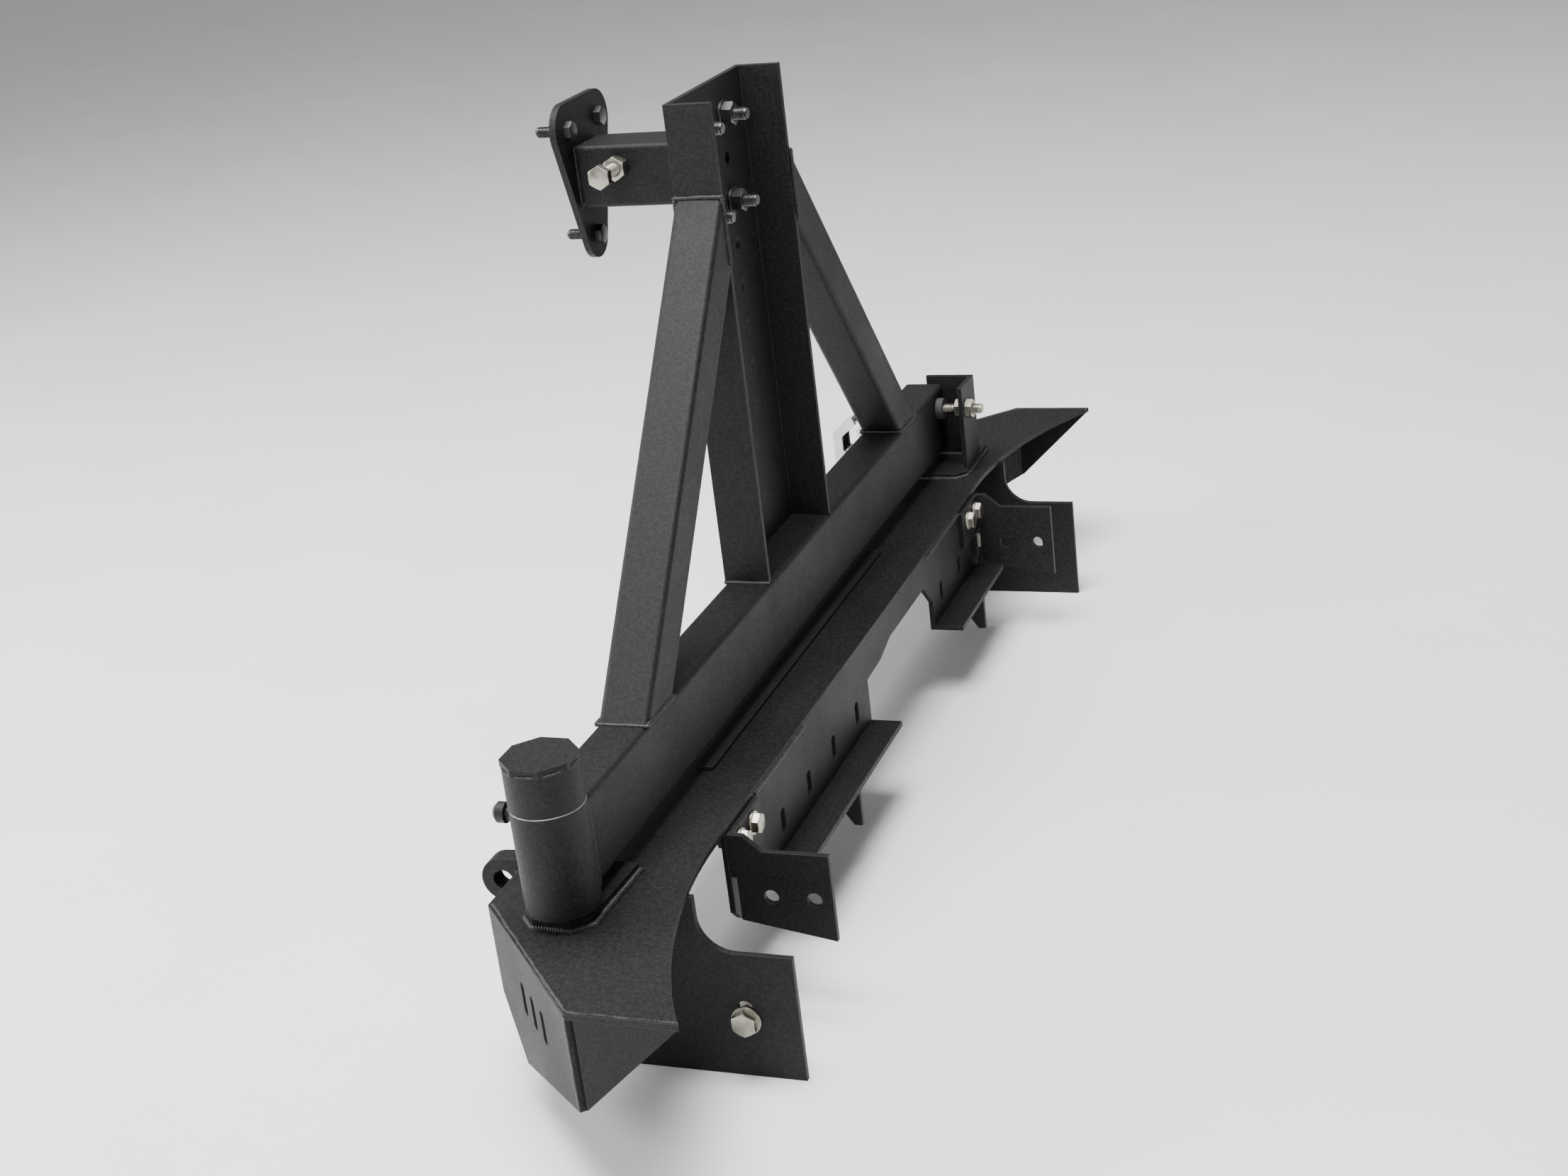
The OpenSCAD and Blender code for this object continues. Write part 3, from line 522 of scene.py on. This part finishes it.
def hex_block(bm, place, flat, z0, z1, hole=0.0, both=False):
    """Hexagon with its corners turned off at the top, or at both ends; a hole makes it a nut."""
    shape = hexagon(flat)
    turned = 0.97 * flat
    slope = math.tan(math.radians(28))

    def edge(z, sign):
        """The hexagon's rim, which the turned cone cuts lower at the corners."""
        return [place @ Vector((shape(a) * math.cos(a), shape(a) * math.sin(a),
                                z + sign * max(0.0, shape(a) - turned) * slope)) for a in ANGLES]

    rings = []
    if both:
        rings += [ring_at(place, lambda a: turned, z0), edge(z0, 1)]
    else:
        rings += [ring_at(place, shape, z0)]
    rings += [edge(z1, -1), ring_at(place, lambda a: turned, z1)]
    if hole:
        cut = 0.12 * hole
        rings += [ring_at(place, lambda a: hole + cut, z1), ring_at(place, lambda a: hole, z1 - cut)]
        rings += [ring_at(place, lambda a: hole, z0 + cut), ring_at(place, lambda a: hole + cut, z0)]
    loft(bm, rings, closed=bool(hole))


def washer(bm, place, radius, hole, z0, z1):
    """Flat washer with its outer edges broken."""
    soft = 0.35 * MM
    steps = [(hole, z0), (radius - soft, z0), (radius, z0 + soft),
             (radius, z1 - soft), (radius - soft, z1), (hole, z1)]
    loft(bm, [ring_at(place, lambda a, r=r: r, z) for r, z in steps], closed=True)


def threaded_rod(bm, place, radius, z0, z1, pitch):
    """A core with a helical ridge whose crest is at radius, and a turned end at z0."""
    depth = 0.55 * pitch
    root = radius - depth
    chamfer = 0.6 * MM
    loft(bm, [ring_at(place, lambda a: root - chamfer, z0), ring_at(place, lambda a: root, z0 + chamfer),
              ring_at(place, lambda a: root, z1)])
    sections = []
    per_turn = 24
    run_out = 18
    count = int((z1 - z0 - 1.6 * MM) / pitch * per_turn)
    for i in range(count + 1):
        a = math.tau * i / per_turn
        z = z0 + 2 * chamfer + pitch * i / per_turn
        grow = min(1.0, i / run_out, (count - i) / run_out)
        section = []
        for r, dz in ((root - 0.3 * MM, -0.45 * pitch), (root + depth * grow, -0.06 * pitch),
                      (root + depth * grow, 0.06 * pitch), (root - 0.3 * MM, 0.45 * pitch)):
            section.append(place @ Vector((r * math.cos(a), r * math.sin(a), z + dz)))
        sections.append(section)
    loft(bm, sections)


def bolt(bm, box, head_toward, d, head_h, washer_t=0.0, pitch=COARSE, flat=None):
    """A hexagon bolt as long as box, with a washer under its head if washer_t is given."""
    place, length = aim(box, head_toward)
    seat = length - head_h
    threaded_rod(bm, place, d / 2, 0, seat - washer_t, pitch)
    if washer_t:
        washer(bm, place, 1.05 * d, d / 2 - 0.4 * MM, seat - washer_t, seat)
    hex_block(bm, place, flat or HALF_FLAT * d, seat, length)


def nut(bm, box, away, d, washer_t=0.0, flat=None):
    """A hexagon nut that fills box, on a washer if washer_t is given; away points off the washer."""
    place, length = aim(box, away)
    if washer_t:
        washer(bm, place, (box[1] - box[0]).z / 2, d / 2 + 0.1 * MM, 0, washer_t)
    hex_block(bm, place, flat or HALF_FLAT * d, washer_t, length, hole=d / 2 + 0.02 * MM, both=True)


def bolts_and_nuts(name, node, body, slot, head_toward, d, head_h, washer_t, nut_washer=0.0, pitch=COARSE):
    """Rebuilds a node of bolts and nuts: the longer solids are the bolts."""
    bm = bmesh.new()
    boxes = solids(node)
    direction = Vector(head_toward)
    lengths = [abs((high - low).dot(direction)) for low, high in boxes]
    split = (max(lengths) + min(lengths)) / 2
    for box, length in zip(boxes, lengths):
        if length > split:
            bolt(bm, box, head_toward, d, head_h, washer_t, pitch)
        else:
            nut(bm, box, -direction, d, nut_washer)
    make_piece(name, bm, body, slot, replaces=(node,))


def rebuild(name, node, body, slot, build):
    """Rebuilds each separate solid of a node with build(bm, box)."""
    bm = bmesh.new()
    for box in solids(node):
        build(bm, box)
    make_piece(name, bm, body, slot, replaces=(node,))


def stop_rod(bm, box):
    """The stop bolt's shank, threaded from end to end."""
    place, length = aim(box, (0, -1, 0))
    threaded_rod(bm, place, 6 * MM, 0, length, COARSE)


def fasteners():
    bolts_and_nuts("mount_bolts_threaded", "mount_bolts", "swing_arm", "steel", (0, -1, 0),
                   12 * MM, 7.44 * MM, 2.5 * MM, nut_washer=2.5 * MM)
    bolts_and_nuts("bracket_bolts_threaded", "bracket_bolts", "bumper", "zinc", (0, 1, 0),
                   10 * MM, 6.2 * MM, 2 * MM, pitch=FINE)
    bolts_and_nuts("side_plate_bolts_threaded", "side_plate_bolts", "bumper", "zinc", (1, 0, 0),
                   12 * MM, 7.44 * MM, 2.5 * MM)
    flat = math.cos(math.pi / 6)
    rebuild("wheel_studs_threaded", "wheel_studs", "wheel_slide", "steel",
            lambda bm, box: bolt(bm, box, (0, 1, 0), 10 * MM, 6.5 * MM, pitch=FINE, flat=9 * MM * flat))
    rebuild("clamp_bolt_threaded", "clamp_bolt", "swing_arm", "zinc",
            lambda bm, box: bolt(bm, box, (1, 0, 0), 12 * MM, 8 * MM, flat=11.2 * MM * flat))
    rebuild("clamp_nut_chamfered", "clamp_nut", "swing_arm", "zinc",
            lambda bm, box: nut(bm, box, (1, 0, 0), 12 * MM, flat=11.4 * MM * flat))
    rebuild("stop_bolt_threaded", "stop_bolt", "bumper", "zinc", stop_rod)
    rebuild("stop_nuts_chamfered", "stop_nuts", "bumper", "zinc",
            lambda bm, box: nut(bm, box, (0, 1, 0), 12 * MM))


def coil_spring():
    """The hold-open pin's coil, as long as its CAD rings."""
    low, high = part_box("pin_spring")
    centre = (low + high) / 2
    wire = 0.45 * MM
    radius = (high.x - low.x) / 2 - wire
    turns = 6
    per_turn = 28
    bm = bmesh.new()
    rings = []
    for i in range(turns * per_turn + 1):
        t = i / (turns * per_turn)
        a = math.tau * turns * t
        y = high.y - wire - (high.y - low.y - 2 * wire) * t
        out = Vector((math.cos(a), 0, math.sin(a)))
        spot = Vector((centre.x, y, centre.z)) + out * radius
        rings.append(round_section(spot, out, Vector((0, 1, 0)), wire))
    loft(bm, rings)
    piece = make_piece("pin_coil_spring", bm, "swing_arm", "zinc", replaces=("pin_spring",))
    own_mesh(piece)


bumper_beads()
arm_beads()
seam_ring()
plate_bead()
fasteners()
coil_spring()


# ---------- floor, light and camera ----------

FLOOR_REACH = 20.0


def floor():
    """A pale floor just under the object's lowest point."""
    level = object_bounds()[0][2]
    bm = bmesh.new()
    bmesh.ops.create_grid(bm, x_segments=8, y_segments=8, size=FLOOR_REACH)
    mesh = bpy.data.meshes.new("floor")
    bm.to_mesh(mesh)
    bm.free()
    piece = bpy.data.objects.new("floor", mesh)
    piece.location.z = level - 0.2 * MM
    bpy.context.scene.collection.objects.link(piece)
    finish = Finish("pale floor")
    clouds = finish.noise(3.0, 3.0)
    colour = finish.mix(finish.ramp(clouds, 0.0, 1.0), (0.80, 0.80, 0.795, 1), (0.84, 0.84, 0.835, 1))
    coat(piece, finish.shade(base_color=colour, roughness=finish.ramp(clouds, 0.75, 0.85)))
    piece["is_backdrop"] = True


def lamp(name, place, target, size, watts):
    """A rectangular softbox that faces target."""
    data = bpy.data.lights.new(name, "AREA")
    data.shape = "RECTANGLE"
    data.size, data.size_y = size
    data.energy = watts
    lamp_object = bpy.data.objects.new(name, data)
    lamp_object.location = place
    lamp_object.rotation_euler = (Vector(target) - Vector(place)).to_track_quat("-Z", "Y").to_euler()
    bpy.context.scene.collection.objects.link(lamp_object)


def studio():
    """Three softboxes and a dim, even sky."""
    middle = (0.1, -0.08, 0.15)
    lamp("overhead", (0.5, -0.2, 3.0), middle, (1.8, 1.8), 260)
    lamp("side", (0.9, -3.2, 1.6), middle, (2.0, 1.4), 130)
    lamp("front", (3.4, 0.6, 1.6), middle, (1.6, 1.2), 30)
    world = bpy.data.worlds.new("studio")
    world.use_nodes = True
    sky = world.node_tree.nodes["Background"]
    sky.inputs["Color"].default_value = (0.95, 0.96, 1.0, 1)
    sky.inputs["Strength"].default_value = 0.38
    bpy.context.scene.world = world


# Where the camera stands, in metres, and which way it faces before it is turned to the object
CAMERA_PLACE = Vector((1.934, 0.693, 0.900))
VIEW_RIGHT = Vector((-0.01664, 0.99985, 0.00510))
VIEW_FORWARD = Vector((-0.95082, -0.01424, -0.30943))
# The picture is this many times as wide as the object in it
MARGIN = 1.12
PICTURE_ASPECT = 4 / 3
SENSOR_WIDTH = 36.0


def camera():
    """Stands where the view is right, turns straight to the object, and zooms until it fills the picture."""
    points = []
    for thing in frame["nodes"].values():
        points += [v.co - CAMERA_PLACE for v in thing.data.vertices][::5]
    forward = VIEW_FORWARD.normalized()
    right = VIEW_RIGHT.normalized()
    for _ in range(3):
        up = right.cross(forward)
        across = [p.dot(right) / p.dot(forward) for p in points]
        above = [p.dot(up) / p.dot(forward) for p in points]
        middle = right * (min(across) + max(across)) / 2 + up * (min(above) + max(above)) / 2
        new_forward = (forward + middle).normalized()
        turn = forward.rotation_difference(new_forward)
        forward = new_forward
        right = turn @ right
    up = right.cross(forward)
    wide = max(across) - min(across)
    tall = max(above) - min(above)
    data = bpy.data.cameras.new("camera")
    data.sensor_width = SENSOR_WIDTH
    data.lens = SENSOR_WIDTH / (MARGIN * max(wide, tall * PICTURE_ASPECT))
    view = bpy.data.objects.new("camera", data)
    view.matrix_world = Matrix.Translation(CAMERA_PLACE) @ Matrix((right, up, -forward)).transposed().to_4x4()
    bpy.context.scene.collection.objects.link(view)
    bpy.context.scene.camera = view


floor()
studio()
camera()
